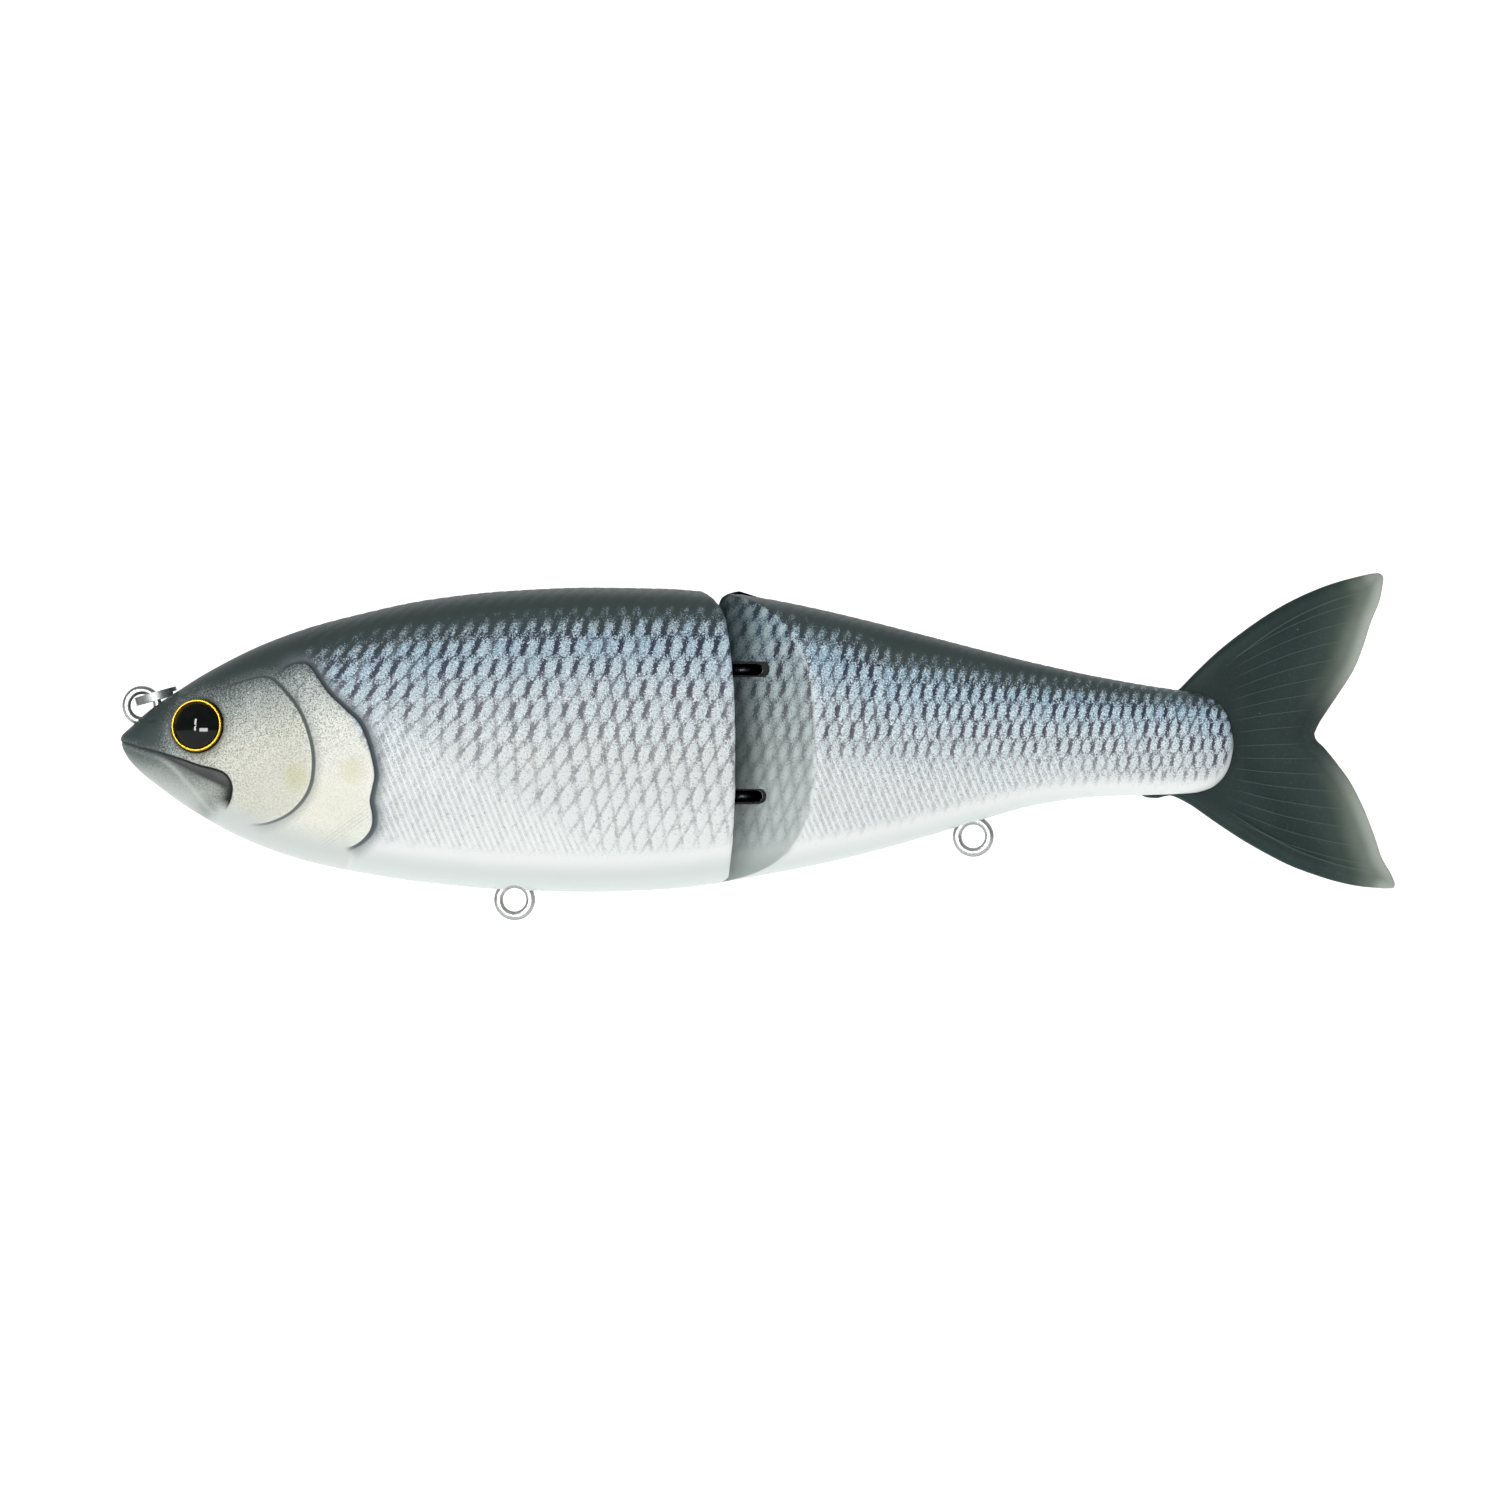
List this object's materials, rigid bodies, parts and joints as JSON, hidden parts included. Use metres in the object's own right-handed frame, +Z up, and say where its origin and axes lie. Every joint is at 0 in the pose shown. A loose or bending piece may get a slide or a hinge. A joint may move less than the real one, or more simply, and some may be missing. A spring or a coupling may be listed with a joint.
{
  "type": "swimbait",
  "caption": "Hinged hard glide swimbait with a soft forked tail, wire line tie with a split ring, and belly eyes for hooks.",
  "frame": {"origin": "centre of the wire eye in the nose, the line tie", "axes": "+X to the tail along the body's length, +Z up to the back, -Y is the fish's left side"},
  "size_m": [0.1998, 0.0268, 0.0546],
  "materials": {
    "body_abs": "painted ABS under a satin clear coat",
    "eye_gold": "polished gold foil",
    "eye_black": "gloss black",
    "eye_clear": "clear epoxy dome",
    "steel_wire": "bright drawn stainless wire",
    "ring_steel": "bright nickel",
    "black_wire": "black nickel wire",
    "pin_steel": "ground stainless pin",
    "ballast": "turned",
    "tail_soft": "matte soft plastic"
  },
  "bodies": {
    "front": {"front_shell_left": "body_abs", "front_shell_right": "body_abs", "eye_cup_left": "eye_gold", "eye_cup_right": "eye_gold", "eye_pupil_left": "eye_black", "eye_pupil_right": "eye_black", "eye_lens_left": "eye_clear", "eye_lens_right": "eye_clear", "nose_eye": "steel_wire", "belly_hanger_front": "steel_wire", "hinge_eye_upper": "black_wire", "hinge_eye_lower": "black_wire", "nose_ballast": "ballast", "front_ballast": "ballast"},
    "rear": {"rear_shell_left": "body_abs", "rear_shell_right": "body_abs", "hinge_pin": "pin_steel", "belly_hanger_rear": "steel_wire", "rear_ballast": "ballast", "tail_root": "tail_soft", "tail_lock_pin": "pin_steel"},
    "tail": {"tail_fin": "tail_soft"},
    "line_tie_ring": {"line_tie_split_ring": "ring_steel"}
  },
  "joints": [
    {"name": "body_hinge", "type": "hinge", "parent": "front", "child": "rear", "pos_m": [0.09418, 0, 0], "axis": [0, 0, 1], "range_deg": [-35, 35]},
    {"name": "tail_flex", "type": "hinge", "parent": "rear", "child": "tail", "pos_m": [0.17284, 0, 0], "axis": [0, 0, 1], "range_deg": [-25, 25], "stiffness_Nm_per_rad": 0.02},
    {"name": "line_tie_swing", "type": "hinge", "parent": "front", "child": "line_tie_ring", "pos_m": [-0.00074, 0, 0.00062], "axis": [0, -1, 0], "range_deg": [0, 190]}
  ]
}
